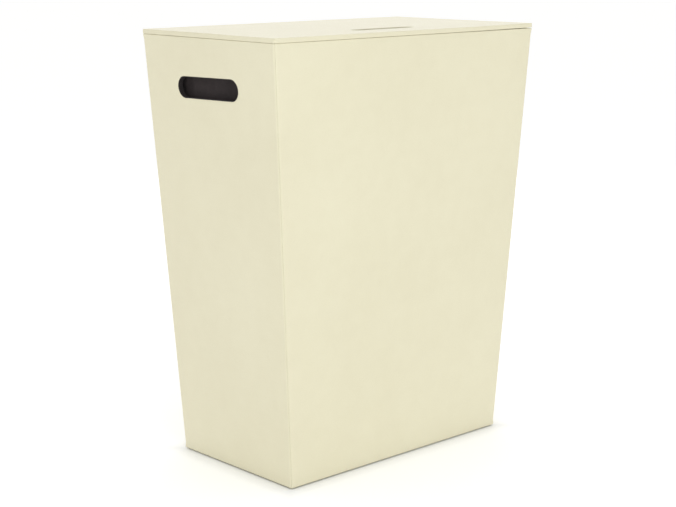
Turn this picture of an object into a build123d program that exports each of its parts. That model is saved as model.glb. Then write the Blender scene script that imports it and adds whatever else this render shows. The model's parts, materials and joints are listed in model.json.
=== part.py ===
from build123d import *
import math
import os

# A laundry hamper: a tapered box of thin boards, each wrapped in imitation leather, with a
# cloth bag inside and a lid that swings on a leather hinge along its rear edge.
# Millimetres. +X runs along the long side, -Y is the front, +Z is up. The origin is the
# middle of the footprint, at the height that the feet stand on.

os.makedirs("parts", exist_ok=True)

# ---- overall sizes
overall_height = 600.0
top_length = 488.0
top_width = 276.0
base_length = 405.0
base_width = 233.0

# ---- boards and sheets
wall_board = 5.0
base_board = 5.0
lid_board = 4.0
leather = 1.0
lining = 0.8
hinge_leather = 1.0

# ---- how the leather is turned round the boards
panel_joint = 0.1          # gap between two wrapped panels at a corner
panel_edge_radius = 1.1
rim_edge_radius = 0.9
rim_turn_in = 14.0         # leather seen inside, below the rim
bottom_turn_in = 20.0      # leather seen underneath
lid_turn_in = 20.0
lid_corner_radius = 2.0
lid_edge_radius = 1.4

# ---- feet
foot_height = 2.0
foot_radius = 10.0
foot_inset = 34.0

# ---- lid seam and hinge
seam_gap = 0.6
bumper_radius = 2.3
bumper_end_inset = 20.0
hinge_drop = 26.0          # how far the hinge strip reaches down the rear wall
hinge_end_inset = 7.0
hinge_fold = 1.0           # bare strip above and below the seam, where the leather bends

# ---- finger slot in the lid
slot_length = 114.0
slot_width = 19.0
slot_from_front = 58.5
slot_turn_in = 8.0
slot_edge_radius = 0.6

# ---- hand holes in the short walls
hand_hole_length = 126.0
hand_hole_height = 29.0
hand_hole_drop = 65.4      # rim to the middle of the hole
hand_hole_back = 3.0       # how far the hole sits behind the middle of the wall
hand_hole_tilt = 1.3       # degrees that it slopes down to the rear
liner_wall = 0.8
liner_recess = 0.3
liner_flange = 5.0

# ---- corner battens and panel pins
batten = 12.0
batten_margin = 3.0        # bare board above each batten, up to the leather
pin_shank_radius = 0.6
pin_head_radius = 1.2
pin_head = 0.5
pin_length = 14.0
pin_sink = 0.3
batten_pins_each = 4       # in each face of a batten
batten_pin_margin = 80.0   # from either end of a batten
pin_stagger = 20.0         # the pins of the long walls pass above those of the short ones
base_pins_long = 4
base_pins_short = 3
base_pin_margin = 40.0

# ---- cloth bag and the tapes that hold it
bag_cloth = 1.0
bag_corner_radius = 40.0
bag_drop = 16.0            # rim to the top of the bag
tape_height = 20.0
tape = 1.2
tape_end_inset = 70.0
tape_clearance = 0.1
bag_floor_clearance = 0.3
bag_sag = 5.0              # how far the cloth stands off below the tapes
bag_belly = 8.0            # and near the floor
bag_hem_step = 12.0
bag_heel = 8.0
handle_width = 25.0
handle_span = 110.0
handle_hang = 95.0
handle_webbing = 1.6
handle_clearance = 0.05

overcut = 5.0              # how far a cutting tool runs past what it cuts

# ---- worked out from the sizes above
lid_thickness = leather + lid_board + leather
lid_z = overall_height - lid_thickness
rim_z = lid_z - seam_gap
inside = leather + wall_board                 # outer face of a wall to its inner face
base_z = foot_height + leather
floor_z = base_z + base_board
lined_floor_z = floor_z + lining
body_top_width = top_width - hinge_leather    # the hinge strip lies behind the rear wall
middle_y = -hinge_leather / 2
hand_hole_z = rim_z - hand_hole_drop
slot_y = -body_top_width / 2 + slot_from_front
bag_top_z = rim_z - bag_drop
batten_top = rim_z - rim_turn_in - batten_margin
tape_inset = inside + lining


def half_length(z):
    """Half the outer length of the walls at height z."""
    rise = (z - foot_height) / (rim_z - foot_height)
    return (base_length + (top_length - base_length) * rise) / 2


def half_width(z):
    """Half the outer width of the walls at height z."""
    rise = (z - foot_height) / (rim_z - foot_height)
    return (base_width + (body_top_width - base_width) * rise) / 2


def straight_solid(low, high):
    """Solid between two level polygons whose matching edges are parallel."""
    count = len(low)
    faces = [Face(Wire.make_polygon(low[::-1])), Face(Wire.make_polygon(high))]
    for i in range(count):
        j = (i + 1) % count
        faces.append(Face(Wire.make_polygon([low[i], low[j], high[j], high[i]])))
    solid = Solid(Shell(faces))
    return Part() + solid


def wall_point(side, end, inset, back, z):
    """Point on a wall: inset from its outer face, and back from the corner at one end."""
    x = half_length(z) - inset
    y = half_width(z) - inset
    if side == "front":
        return Vector(end * (x - back), -y, z)
    if side == "rear":
        return Vector(-end * (x - back), y, z)
    if side == "left":
        return Vector(-x, -end * (y - back), z)
    return Vector(x, end * (y - back), z)


def wall_slab(side, z_low, z_high, outer, inner, back):
    """Slab of one wall between two insets, its ends mitred and cut back from the corners."""
    outlines = []
    for z in (z_low, z_high):
        outlines.append([wall_point(side, -1, outer, back, z), wall_point(side, 1, outer, back, z),
                         wall_point(side, 1, inner, back, z), wall_point(side, -1, inner, back, z)])
    return straight_solid(*outlines)


def corner_block(end_x, end_y, z_low, z_high, inset, size):
    """Square block that leans with one corner of the box."""
    outlines = []
    for z in (z_low, z_high):
        x = half_length(z) - inset
        y = half_width(z) - inset
        outline = [Vector(end_x * x, end_y * y, z), Vector(end_x * (x - size), end_y * y, z),
                   Vector(end_x * (x - size), end_y * (y - size), z),
                   Vector(end_x * x, end_y * (y - size), z)]
        outlines.append(outline if end_x * end_y > 0 else outline[::-1])
    return straight_solid(*outlines)


def level_slab(z_low, z_high, inset):
    """Slab that fills the box at one height, inset from the outer faces."""
    return straight_solid(*[
        [Vector(sx * (half_length(z) - inset), sy * (half_width(z) - inset), z)
         for sx, sy in ((-1, -1), (1, -1), (1, 1), (-1, 1))] for z in (z_low, z_high)])


def bag_form(levels, extra, radius):
    """Tapered tube with round corners through (height, inset) levels."""
    sections = []
    for z, inset in levels:
        length = 2 * (half_length(z) - inset - extra)
        width = 2 * (half_width(z) - inset - extra)
        sections.append(Pos(0, 0, z) * RectangleRounded(length, width, radius - extra))
    return loft(sections, ruled=True)


def stadium(length, height, depth):
    """Upright prism with two round ends, its length along X and its height along Y."""
    return extrude(SlotOverall(length, height), depth / 2, both=True)


def hand_hole_tool(grow):
    """Prism along X through both hand holes, grown on every side."""
    tool = stadium(hand_hole_length + 2 * grow, hand_hole_height + 2 * grow, top_length)
    return Pos(0, hand_hole_back, hand_hole_z) * Rot(-hand_hole_tilt, 0, 0) * (Plane.YZ * tool)


def lid_slot_tool(grow):
    """Prism along Z through the finger slot, grown on every side."""
    tool = stadium(slot_length + 2 * grow, slot_width + 2 * grow, lid_thickness + 2 * overcut)
    return Pos(0, slot_y, lid_z + lid_thickness / 2) * tool


def pin(x, y, z, turn):
    """Panel pin with its head at a point, driven along a level direction given in degrees."""
    head = Cylinder(pin_head_radius, pin_head, align=(Align.CENTER, Align.CENTER, Align.MIN))
    shank = Cylinder(pin_shank_radius, pin_length, align=(Align.CENTER, Align.CENTER, Align.MIN))
    return Pos(x, y, z) * Rot(0, 0, turn) * Rot(0, 90, 0) * (head + shank)


def pin_mouth(x, y, z, turn):
    """Sunk hole above the head of the same pin."""
    mouth = Cylinder(pin_head_radius, pin_sink + overcut, align=(Align.CENTER, Align.CENTER, Align.MAX))
    return Pos(x, y, z) * Rot(0, 0, turn) * Rot(0, 90, 0) * mouth


def spread(half_span, count):
    """Evenly spaced places from -half_span to +half_span."""
    return [half_span * (2 * i / (count - 1) - 1) for i in range(count)]


SIDES = ("front", "rear", "left", "right")
HOLED = ("left", "right")
DRIVE = {"front": 90, "rear": -90, "left": 0, "right": 180}
mitre = panel_joint / math.sqrt(2)
nodes = {}

# ---- pins: in the base board's edges, and in the corner battens
pin_depth = leather + pin_sink
base_pin_z = base_z + base_board / 2
pins = {"base_pins": [], "batten_pins": []}
for side in SIDES:
    long_side = side not in HOLED
    run = half_length(base_pin_z) if long_side else half_width(base_pin_z)
    count = base_pins_long if long_side else base_pins_short
    for place in spread(run - base_pin_margin, count):
        pins["base_pins"].append((side, place, base_pin_z))
    half_batten = (batten_top - floor_z) / 2
    for height in spread(half_batten - batten_pin_margin, batten_pins_each):
        z = floor_z + half_batten + height + (pin_stagger if long_side else 0)
        run = half_length(z) if long_side else half_width(z)
        for end in (-1, 1):
            pins["batten_pins"].append((side, end * (run - inside - batten / 2), z))


def pin_place(side, place, z):
    """Where a pin's head stands and which way it is driven."""
    if side in HOLED:
        x = half_length(z) - pin_depth
        return (-x if side == "left" else x, place, z, DRIVE[side])
    y = half_width(z) - pin_depth
    return (place, -y if side == "front" else y, z, DRIVE[side])


for name, places in pins.items():
    nodes[name] = Part() + [pin(*pin_place(*place)) for place in places]

# ---- walls: board, leather cover and lining
holes = hand_hole_tool(0)
board_back = mitre + leather * math.sqrt(2)
for side in SIDES:
    own_pins = [pin_place(*p) for group in pins.values() for p in group if p[0] == side]
    pin_tools = [pin(*place) for place in own_pins] + [pin_mouth(*place) for place in own_pins]
    board = wall_slab(side, base_z, rim_z - leather, leather, inside, board_back)
    cover = wall_slab(side, foot_height, rim_z, 0, inside, mitre)
    for upright, radius in ((True, panel_edge_radius), (False, rim_edge_radius)):
        outer_face = cover.faces().sort_by_distance(wall_point(side, 0, 0, 0, rim_z / 2))[0]
        edges = [e for e in outer_face.edges() if (abs(e.center().Z - rim_z / 2) < rim_z / 4) == upright]
        cover = fillet(edges, radius)
    cover -= wall_slab(side, base_z, rim_z - leather, leather, inside + overcut, board_back)
    cover += wall_slab(side, rim_z - rim_turn_in, rim_z, inside, inside + leather, mitre)
    cover += wall_slab(side, foot_height, base_z, inside, bottom_turn_in, mitre)
    sheet = wall_slab(side, floor_z, rim_z - rim_turn_in, inside, tape_inset, batten)
    if side in HOLED:
        board -= holes
        cover -= holes
        sheet -= holes
    nodes[side + "_board"] = board - pin_tools
    nodes[side + "_cover"] = cover
    nodes[side + "_lining"] = sheet

# ---- base and corner battens
base_pin_tools = [pin(*pin_place(*place)) for place in pins["base_pins"]]
nodes["base_board"] = level_slab(base_z, floor_z, inside) - base_pin_tools
nodes["base_cover"] = level_slab(foot_height, base_z, bottom_turn_in)
base_lining = level_slab(floor_z, lined_floor_z, inside + lining)
for end_y, end_name in ((-1, "front"), (1, "rear")):
    for end_x, side_name in ((-1, "left"), (1, "right")):
        block = corner_block(end_x, end_y, floor_z, batten_top, inside, batten)
        base_lining -= corner_block(end_x, end_y, floor_z, batten_top, inside, batten)
        near = [pin_place(*p) for p in pins["batten_pins"] if p[0] in (end_name, side_name)]
        near = [p for p in near if p[0] * end_x > 0 and p[1] * end_y > 0]
        nodes["batten_" + end_name + "_" + side_name] = block - [pin(*place) for place in near]
nodes["base_lining"] = base_lining

# ---- hand hole liners: a sleeve through the wall and a flange on its inside
liner_bore = hand_hole_tool(-liner_wall)
flange_tool = hand_hole_tool(liner_flange)
hole_low = hand_hole_z - hand_hole_height
hole_high = hand_hole_z + hand_hole_height
for side in HOLED:
    sleeve = wall_slab(side, hole_low, hole_high, liner_recess, tape_inset, batten) & holes
    flange = wall_slab(side, hole_low, hole_high, tape_inset, tape_inset + liner_wall, batten)
    nodes[side + "_hand_hole_liner"] = sleeve + (flange & flange_tool) - liner_bore

# ---- feet
for end_y, end_name in ((-1, "front"), (1, "rear")):
    for end_x, side_name in ((-1, "left"), (1, "right")):
        x = end_x * (half_length(foot_height) - foot_inset)
        y = end_y * (half_width(foot_height) - foot_inset)
        disc = Cylinder(foot_radius, foot_height, align=(Align.CENTER, Align.CENTER, Align.MIN))
        disc = fillet(disc.edges().group_by(Axis.Z)[0], foot_height / 4)
        nodes["foot_pad_" + end_name + "_" + side_name] = Pos(x, y, 0) * disc

# ---- hook tape on the walls, loop tape round the bag
tape_low = bag_top_z - tape_height
for side in SIDES:
    strip = wall_slab(side, tape_low, bag_top_z, tape_inset, tape_inset + tape, tape_end_inset)
    nodes["hook_tape_" + side] = strip
loop_inset = tape_inset + tape + tape_clearance
loop_levels = [(tape_low, loop_inset), (bag_top_z, loop_inset)]
loop_inner = [(tape_low - overcut, loop_inset), (bag_top_z + overcut, loop_inset)]
nodes["bag_loop_tape"] = (bag_form(loop_levels, 0, bag_corner_radius)
                          - bag_form(loop_inner, tape, bag_corner_radius))

# ---- bag: hangs from the tapes, stands off the walls and rests on the lined floor
bag_inset = loop_inset + tape
bag_floor_z = lined_floor_z + bag_floor_clearance
bag_levels = [(bag_floor_z, bag_inset + bag_belly + bag_heel),
              (bag_floor_z + bag_heel, bag_inset + bag_belly),
              (tape_low - bag_hem_step, bag_inset + bag_sag),
              (tape_low, bag_inset),
              (bag_top_z, bag_inset)]


def bag_hollow(extra):
    """Space inside the bag, further in by extra, open at the top."""
    levels = [(bag_levels[0][0] + extra, bag_levels[0][1])] + bag_levels[1:-1]
    return bag_form(levels + [(bag_top_z + overcut, bag_inset)], extra, bag_corner_radius)


nodes["laundry_bag"] = bag_form(bag_levels, 0, bag_corner_radius) - bag_hollow(bag_cloth)

# ---- bag handles: flat webbing loops that lie against the cloth at both ends
web_outer = bag_cloth + handle_clearance
web_inner = web_outer + handle_webbing
leg = handle_span / 2
bow_z = bag_top_z - handle_hang + leg
bow = Pos(0, bow_z) * (Circle(leg) - Circle(leg - handle_width))
bow -= Pos(0, bow_z + leg) * Rectangle(2 * handle_span, 2 * leg)
legs = [Pos(end * (leg - handle_width / 2), (bow_z + bag_top_z) / 2)
        * Rectangle(handle_width, bag_top_z - bow_z) for end in (-1, 1)]
loop_face = bow + legs
for side, end_x in (("left", -1), ("right", 1)):
    band = Part()
    for (z_low, inset_low), (z_high, inset_high) in zip(bag_levels[1:-1], bag_levels[2:]):
        outlines = []
        for z, inset in ((z_low, inset_low), (z_high, inset_high)):
            outlines.append([wall_point(side, end, inset + depth, bag_corner_radius, z)
                             for end, depth in ((-1, web_outer), (1, web_outer),
                                                (1, web_inner), (-1, web_inner))])
        band += straight_solid(*outlines)
    prism = Plane.YZ * extrude(loop_face, end_x * top_length / 2)
    nodes["bag_handle_" + side] = band & prism

# ---- lid: board, leather and lining, all pierced by the finger slot
lid_middle = Pos(0, 0, lid_z + lid_thickness / 2)
lid_cover = lid_middle * Box(top_length, body_top_width, lid_thickness)
lid_cover = fillet(lid_cover.edges().filter_by(Axis.Z), lid_corner_radius)
lid_cover = fillet(lid_cover.edges().group_by(Axis.Z)[-1] + lid_cover.edges().group_by(Axis.Z)[0],
                   lid_edge_radius)
lid_core = lid_middle * Box(top_length - 2 * leather, body_top_width - 2 * leather, lid_board)
lid_core = fillet(lid_core.edges().filter_by(Axis.Z), lid_corner_radius - leather)
lid_core -= lid_slot_tool(leather)
under = Pos(0, 0, lid_z) * Box(top_length - 2 * lid_turn_in, body_top_width - 2 * lid_turn_in, leather,
                               align=(Align.CENTER, Align.CENTER, Align.MIN))
under -= lid_slot_tool(slot_turn_in)
lid_cover = lid_cover - lid_core - under - lid_slot_tool(0)
slot_rims = [e for e in lid_cover.edges().group_by(Axis.Z)[-1]
             if abs(e.center().Y - slot_y) < slot_width and abs(e.center().X) < slot_length]
lid_cover = fillet(slot_rims, slot_edge_radius)
nodes["lid_board"] = lid_core
nodes["lid_cover"] = lid_cover
nodes["lid_lining"] = under

# ---- lid bumpers: they rest on the rim and give the seam its height
rim_middle = (inside + leather) / 2
bumper_y = body_top_width / 2 - rim_middle
for end_y, end_name in ((-1, "front"), (1, "rear")):
    for end_x, side_name in ((-1, "left"), (1, "right")):
        x = end_x * (top_length / 2 - bumper_end_inset)
        dot = Cylinder(bumper_radius, seam_gap, align=(Align.CENTER, Align.CENTER, Align.MIN))
        nodes["lid_bumper_" + end_name + "_" + side_name] = Pos(x, end_y * bumper_y, rim_z) * dot

# ---- leather hinge: one strip in two glued flaps, bare between them where it folds
flap_back = hinge_end_inset - hinge_leather
nodes["hinge_flap_wall"] = wall_slab("rear", rim_z - hinge_drop, rim_z - hinge_fold,
                                     -hinge_leather, 0, flap_back)
flap_low = lid_z + hinge_fold
flap_high = overall_height - lid_edge_radius
nodes["hinge_flap_lid"] = Pos(0, (body_top_width + hinge_leather) / 2, (flap_low + flap_high) / 2) * Box(
    top_length - 2 * hinge_end_inset, hinge_leather, flap_high - flap_low)

for name, part in nodes.items():
    placed = Pos(0, middle_y, 0) * part
    export_step(placed, "parts/" + name + ".step")
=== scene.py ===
# %% [markdown]
# # A laundry hamper in cream imitation leather
# A hamper like this is a tapered box of thin boards. Each board is wrapped in a sheet of coated
# leather before the box is put together, so the sheet turns round every edge, and two wrapped
# edges meet in a fine groove at each corner. The lid is wrapped in the same way and hangs on a
# strip of leather behind it. Inside, a dark cloth bag hangs from tapes below the rim.
#
# The boards, battens, linings, tapes, pins and feet come ready made from the frame. This script
# makes what bends: the leather, the hinge strip, the bag, its hem, handles and stitches.

# %% The frame
import bmesh
import bpy
import json
import math
import numpy as np
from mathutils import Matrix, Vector


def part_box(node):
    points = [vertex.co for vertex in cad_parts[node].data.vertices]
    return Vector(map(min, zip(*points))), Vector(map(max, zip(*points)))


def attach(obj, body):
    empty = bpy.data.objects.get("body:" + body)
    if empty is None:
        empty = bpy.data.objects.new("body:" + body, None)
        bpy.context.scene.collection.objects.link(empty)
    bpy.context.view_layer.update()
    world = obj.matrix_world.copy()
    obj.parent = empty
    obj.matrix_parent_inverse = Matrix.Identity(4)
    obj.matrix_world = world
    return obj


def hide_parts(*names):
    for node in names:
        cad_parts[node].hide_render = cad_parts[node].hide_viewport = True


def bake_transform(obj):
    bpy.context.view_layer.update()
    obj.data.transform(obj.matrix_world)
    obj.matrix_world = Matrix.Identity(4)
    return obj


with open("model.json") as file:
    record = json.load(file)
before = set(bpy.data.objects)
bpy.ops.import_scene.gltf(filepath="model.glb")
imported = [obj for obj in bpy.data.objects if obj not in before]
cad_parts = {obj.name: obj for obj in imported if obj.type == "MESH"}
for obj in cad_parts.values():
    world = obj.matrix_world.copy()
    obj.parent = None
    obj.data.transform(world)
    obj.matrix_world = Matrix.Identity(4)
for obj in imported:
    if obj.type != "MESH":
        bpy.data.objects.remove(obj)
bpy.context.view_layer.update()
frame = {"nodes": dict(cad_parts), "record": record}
MM = 0.001
print("nodes in the frame:", len(frame["nodes"]))

# %% [markdown]
# The four walls lean. Two heights and the reach of the leather at each of them give the whole
# taper, so every wall point below is worked out from these straight lines.

# %% Sizes read from the frame
def mesh_points(mesh):
    """Corners of a mesh as an array."""
    points = np.empty(len(mesh.vertices) * 3)
    mesh.vertices.foreach_get("co", points)
    return points.reshape(-1, 3)


def lean_line(name, axis, sign):
    """Reach of a wall along one axis as a straight line in z: (reach at z 0, reach per z)."""
    points = mesh_points(frame["nodes"][name].data)
    reach = points[:, axis] * sign
    height = points[:, 2]
    low = height < height.min() + 5 * MM
    high = height > height.max() - 5 * MM
    low_at = np.flatnonzero(low)[np.argmax(reach[low])]
    high_at = np.flatnonzero(high)[np.argmax(reach[high])]
    slope = (reach[high_at] - reach[low_at]) / (height[high_at] - height[low_at])
    return reach[low_at] - slope * height[low_at], slope


foot_z, rim_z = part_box("front_cover")[0].z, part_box("front_cover")[1].z
middle_y = (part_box("lid_cover")[0].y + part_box("lid_cover")[1].y) / 2
length_line = lean_line("right_cover", 0, 1)
front_line = lean_line("front_cover", 1, -1)
width_line = (front_line[0] + middle_y, front_line[1])
wall_depth = 6 * MM          # leather and board together
rim_turn_in = 14 * MM
bottom_turn_in = 20 * MM
leather = 0.9 * MM
edge_radius = 1.1 * MM
corner_radius = 3.4 * MM     # the upright corners are eased more than the rim
swell_length, swell_depth = 0.16, 0.16 * MM      # unevenness of leather glued to a board
press_depth, press_width = 0.45 * MM, 1.1 * MM   # leather pressed in at the hand hole's edge
seam_radius = 0.35 * MM      # turn of the leather into the fine seam of a corner
joint_back = 0.04 * MM       # half the gap left in that seam


def half_length(z):
    """Half the length of the box over its leather, a straight line in z."""
    return length_line[0] + length_line[1] * z


def half_width(z):
    """Half the width of the box over its leather, a straight line in z."""
    return width_line[0] + width_line[1] * z


print("rim", round(half_length(rim_z), 4), round(half_width(rim_z), 4),
      "foot", round(half_length(foot_z), 4), round(half_width(foot_z), 4))

# %% [markdown]
# Every new piece is a sheet: a grid of points worked out as whole arrays. One helper turns such
# a grid into a mesh, and can close it round by joining its last column to its first.

# %% Grid helpers
def add_object(name, mesh):
    """New object at the origin that holds a mesh."""
    piece = bpy.data.objects.new(name, mesh)
    bpy.context.scene.collection.objects.link(piece)
    return piece


def grid_piece(name, points, close_u=False, uv=None):
    """Mesh from points[row, column]; close_u joins the last column to the first."""
    rows, columns = points.shape[:2]
    index = np.arange(rows * columns).reshape(rows, columns)
    if close_u:
        index = np.hstack([index, index[:, :1]])
    quads = np.stack([index[:-1, :-1], index[:-1, 1:], index[1:, 1:], index[1:, :-1]], -1)
    quads = quads.reshape(-1, 4)
    mesh = bpy.data.meshes.new(name)
    mesh.from_pydata(points.reshape(-1, 3).tolist(), [], quads.tolist())
    if uv is not None:
        layer = mesh.uv_layers.new(name="UVMap")
        loops = np.empty(len(mesh.loops), int)
        mesh.loops.foreach_get("vertex_index", loops)
        layer.data.foreach_set("uv", uv.reshape(-1, 2)[loops].ravel())
    mesh.shade_smooth()
    return add_object(name, mesh)


def skin_piece(name, outer, inner):
    """Closed skin between two grids of the same shape, joined along their four borders."""
    rows, columns = outer.shape[:2]
    index = np.arange(rows * columns).reshape(rows, columns)
    quads = np.stack([index[:-1, :-1], index[:-1, 1:], index[1:, 1:], index[1:, :-1]], -1).reshape(-1, 4)
    border = np.concatenate([index[0, :-1], index[:-1, -1], index[-1, :0:-1], index[:0:-1, 0]])
    ahead = np.roll(border, -1)
    count = rows * columns
    sides = np.stack([ahead, border, border + count, ahead + count], -1)
    mesh = bpy.data.meshes.new(name)
    mesh.from_pydata(np.concatenate([outer.reshape(-1, 3), inner.reshape(-1, 3)]).tolist(), [],
                     np.concatenate([quads, quads[:, ::-1] + count, sides]).tolist())
    mesh.shade_smooth()
    return add_object(name, mesh)


def bake_modifiers(piece):
    """Replaces a piece's mesh by the result of its modifiers."""
    graph = bpy.context.evaluated_depsgraph_get()
    graph.update()
    mesh = bpy.data.meshes.new_from_object(piece.evaluated_get(graph))
    old = piece.data
    piece.modifiers.clear()
    piece.data = mesh
    bpy.data.meshes.remove(old)


def give_thickness(piece, thickness):
    """Closes a sheet into a skin whose second face lies inwards by thickness."""
    solid = piece.modifiers.new("skin", "SOLIDIFY")
    solid.thickness = thickness
    solid.offset = -1
    solid.use_even_offset = True
    bake_modifiers(piece)


def ripple(x, y, seed, size, depth):
    """Soft unevenness: a sum of a few sine waves with seeded directions and phases."""
    draw = np.random.default_rng(seed)
    total = np.zeros(np.broadcast(x, y).shape)
    for _ in range(6):
        angle, phase = draw.uniform(0, 2 * math.pi, 2)
        wave = size * draw.uniform(0.6, 1.7)
        total += np.sin(2 * math.pi * (x * math.cos(angle) + y * math.sin(angle)) / wave + phase)
    return total * depth / 6


def smooth_step(t):
    """0 below 0, 1 above 1, and an S curve between them."""
    t = np.clip(t, 0, 1)
    return t * t * (3 - 2 * t)


# %% [markdown]
# ## Wrapped wall panels
# Leather pulled round a board has a rounded edge of about its own thickness. The sheet is what
# a ball of that radius would touch: a line of ball centres runs under the surface, and the
# surface lies one radius from it, in a direction that swings from one face to the next. At an
# upright corner the board is eased, so the swing is wide; it ends half way to the neighbour's
# face, and there the leather dives into a fine seam between the two wrapped edges.

# %% The wrapped panel
DIRECTIONS = {"front": ((1, 0), (0, -1)), "rear": ((-1, 0), (0, 1)),
              "left": ((0, -1), (-1, 0)), "right": ((0, 1), (1, 0))}


def turn(start, stop, share):
    """Unit vectors part of the way from start to stop along the arc between them."""
    angle = np.maximum(np.arccos(np.clip((start * stop).sum(-1, keepdims=True), -1, 1)), 1e-6)
    return (np.sin((1 - share) * angle) * start + np.sin(share * angle) * stop) / np.sin(angle)


def wall_profile(face_heights):
    """Rows up one wall: ball centre (depth, z), direction (depth, z) and ball radius.

    Underneath the board, round the bottom edge, up the face, round the rim, down inside."""
    r = edge_radius
    arc = np.linspace(0, math.pi / 2, 7)[1:-1]
    inner = wall_depth + leather - r
    rows = [(d, foot_z + r, 0, -1, r) for d in np.linspace(bottom_turn_in, r, 5)]
    rows += [(r, foot_z + r, -math.sin(a), -math.cos(a), r) for a in arc]
    for z in face_heights:
        ease = smooth_step(min(z - foot_z, rim_z - z) / (6 * MM))
        ball = r + (corner_radius - r) * float(ease)
        rows.append((ball, z, -1, 0, ball))
    rows += [(r, rim_z - r, -math.cos(a), math.sin(a), r) for a in arc]
    rows += [(d, rim_z - r, 0, 1, r) for d in np.linspace(r, inner, 5)]
    rows += [(inner, rim_z - r, math.sin(a), math.cos(a), r) for a in arc]
    rows += [(inner, z, 1, 0, r) for z in np.linspace(rim_z - r, rim_z - rim_turn_in, 4)]
    return np.array(rows)


def spaced(low, high, step, fine_low=None, fine_high=None, fine_step=None):
    """Places from low to high every step, closer together inside one stretch."""
    if fine_low is None:
        return np.linspace(low, high, int((high - low) / step) + 2)
    return np.concatenate([
        np.linspace(low, fine_low, int((fine_low - low) / step) + 2)[:-1],
        np.linspace(fine_low, fine_high, int((fine_high - fine_low) / fine_step) + 2)[:-1],
        np.linspace(fine_high, high, int((high - fine_high) / step) + 2)])


def panel_points(side, face_heights, along, unevenness):
    """Outer and inner surface of one wrapped wall: points[row, column], from end to end.

    Point = ball centre + radius x direction. Along the middle the direction is the face's own.
    At each end it turns to lie in the mitre plane, and then, on a much smaller ball, into it."""
    rows = wall_profile(face_heights)
    depth, height, out_d, out_z, ball = (rows[:, i:i + 1] for i in range(5))
    long_side = side in ("front", "rear")
    run, reach = (half_length, half_width) if long_side else (half_width, half_length)
    easing, diving = np.linspace(0, 1, 9)[1:], np.linspace(0, 1, 6)[1:]
    columns = np.concatenate([-diving[::-1] - 2, -easing[::-1] - 1, along, easing + 1, diving + 2])
    place = np.clip(columns, -1, 1)[None, :]
    own = np.stack(np.broadcast_arrays(0 * place, out_d + 0 * place, out_z + 0 * place), -1)
    mitre = np.zeros_like(own)
    mitre[..., 0] = np.sign(place) / math.sqrt(2)
    mitre[..., 1] = 1 / math.sqrt(2)
    facing = (own * mitre).sum(-1, keepdims=True)
    level = own - facing * mitre
    level = np.where(facing < 0, level / np.linalg.norm(level, axis=-1, keepdims=True), own)
    first = turn(own, level, np.clip(np.abs(columns) - 1, 0, 1)[None, :, None])
    second = turn(level, mitre, np.clip(np.abs(columns) - 2, 0, 1)[None, :, None])
    dives = (np.abs(columns) > 2)[None, :, None]
    held = np.maximum(out_d / math.sqrt(2), 0) * (ball - seam_radius)
    end = run(height) - depth - math.sqrt(2) * (joint_back + seam_radius + held)
    centre = np.stack(np.broadcast_arrays(place * end, depth + 0 * place, height + 0 * place), -1)
    on_face = (out_d < -0.99) * smooth_step((1 - np.abs(place)) * 12)
    swollen = ball + on_face * unevenness(place * end, height + 0 * place)
    outer = np.where(dives, centre + (ball[..., None] - seam_radius) * level + seam_radius * second,
                     centre + swollen[..., None] * first)
    inner = outer - leather * np.where(dives, level, first)
    right, out = DIRECTIONS[side]

    def to_frame(local):
        """Turns (along, depth, z) on this wall into x, y, z."""
        a, d, z = local[..., 0], local[..., 1], local[..., 2]
        distance = reach(z) - d
        return np.stack([right[0] * a + out[0] * distance,
                         right[1] * a + out[1] * distance + middle_y, z], -1)

    return to_frame(outer), to_frame(inner)


# %% [markdown]
# The hand hole is punched through a short wall after wrapping. Its edge is pressed in a little,
# as a punched and glued edge is, so the face dips towards the hole over the last millimetres.

# %% Hand hole
hole_low, hole_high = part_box("left_hand_hole_liner")
flange = 5 * MM
hole_tilt = math.radians(1.3)     # it slopes down to the rear
hole_y = (hole_high.y + hole_low.y) / 2
hole_z = (hole_high.z + hole_low.z) / 2
box_half_y = (hole_high.y - hole_low.y) / 2 - flange
box_half_z = (hole_high.z - hole_low.z) / 2 - flange
hole_radius = (box_half_z - box_half_y * math.tan(hole_tilt)) / (1 - math.tan(hole_tilt))
hole_half = hole_radius + (box_half_y - hole_radius) / math.cos(hole_tilt)
print("hand hole", round(2 * hole_half / MM, 1), "x", round(2 * hole_radius / MM, 1), "mm")


def hole_distance(y, z):
    """Distance outwards from the edge of the hand hole, a slot with round ends."""
    u = (y - hole_y) * math.cos(hole_tilt) - (z - hole_z) * math.sin(hole_tilt)
    v = (y - hole_y) * math.sin(hole_tilt) + (z - hole_z) * math.cos(hole_tilt)
    return np.hypot(np.maximum(np.abs(u) - (hole_half - hole_radius), 0), v) - hole_radius


def hole_prism(name, low, high):
    """Closed prism along x with the outline of the hand hole, turned by its tilt."""
    arc = np.linspace(-math.pi / 2, math.pi / 2, 25)
    reach = hole_half - hole_radius
    u = np.concatenate([reach + hole_radius * np.cos(arc), -reach - hole_radius * np.cos(arc)])
    v = np.concatenate([hole_radius * np.sin(arc), -hole_radius * np.sin(arc)])
    count = len(u)
    y = hole_y + u * math.cos(hole_tilt) + v * math.sin(hole_tilt)
    z = hole_z - u * math.sin(hole_tilt) + v * math.cos(hole_tilt)
    points = np.concatenate([np.stack([np.full(count, x), y, z], -1) for x in (low, high)])
    walls = [(i, (i + 1) % count, (i + 1) % count + count, i + count) for i in range(count)]
    caps = [tuple(range(count))[::-1], tuple(range(count, 2 * count))]
    mesh = bpy.data.meshes.new(name)
    mesh.from_pydata(points.tolist(), [], walls + caps)
    return add_object(name, mesh)


def punch(piece, cutter):
    """Cuts a closed prism out of a closed piece and removes the prism."""
    cut = piece.modifiers.new("punch", "BOOLEAN")
    cut.operation = "DIFFERENCE"
    cut.solver = "EXACT"
    cut.object = cutter
    bake_modifiers(piece)
    bpy.data.objects.remove(cutter)
    piece.data.shade_smooth()


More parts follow.
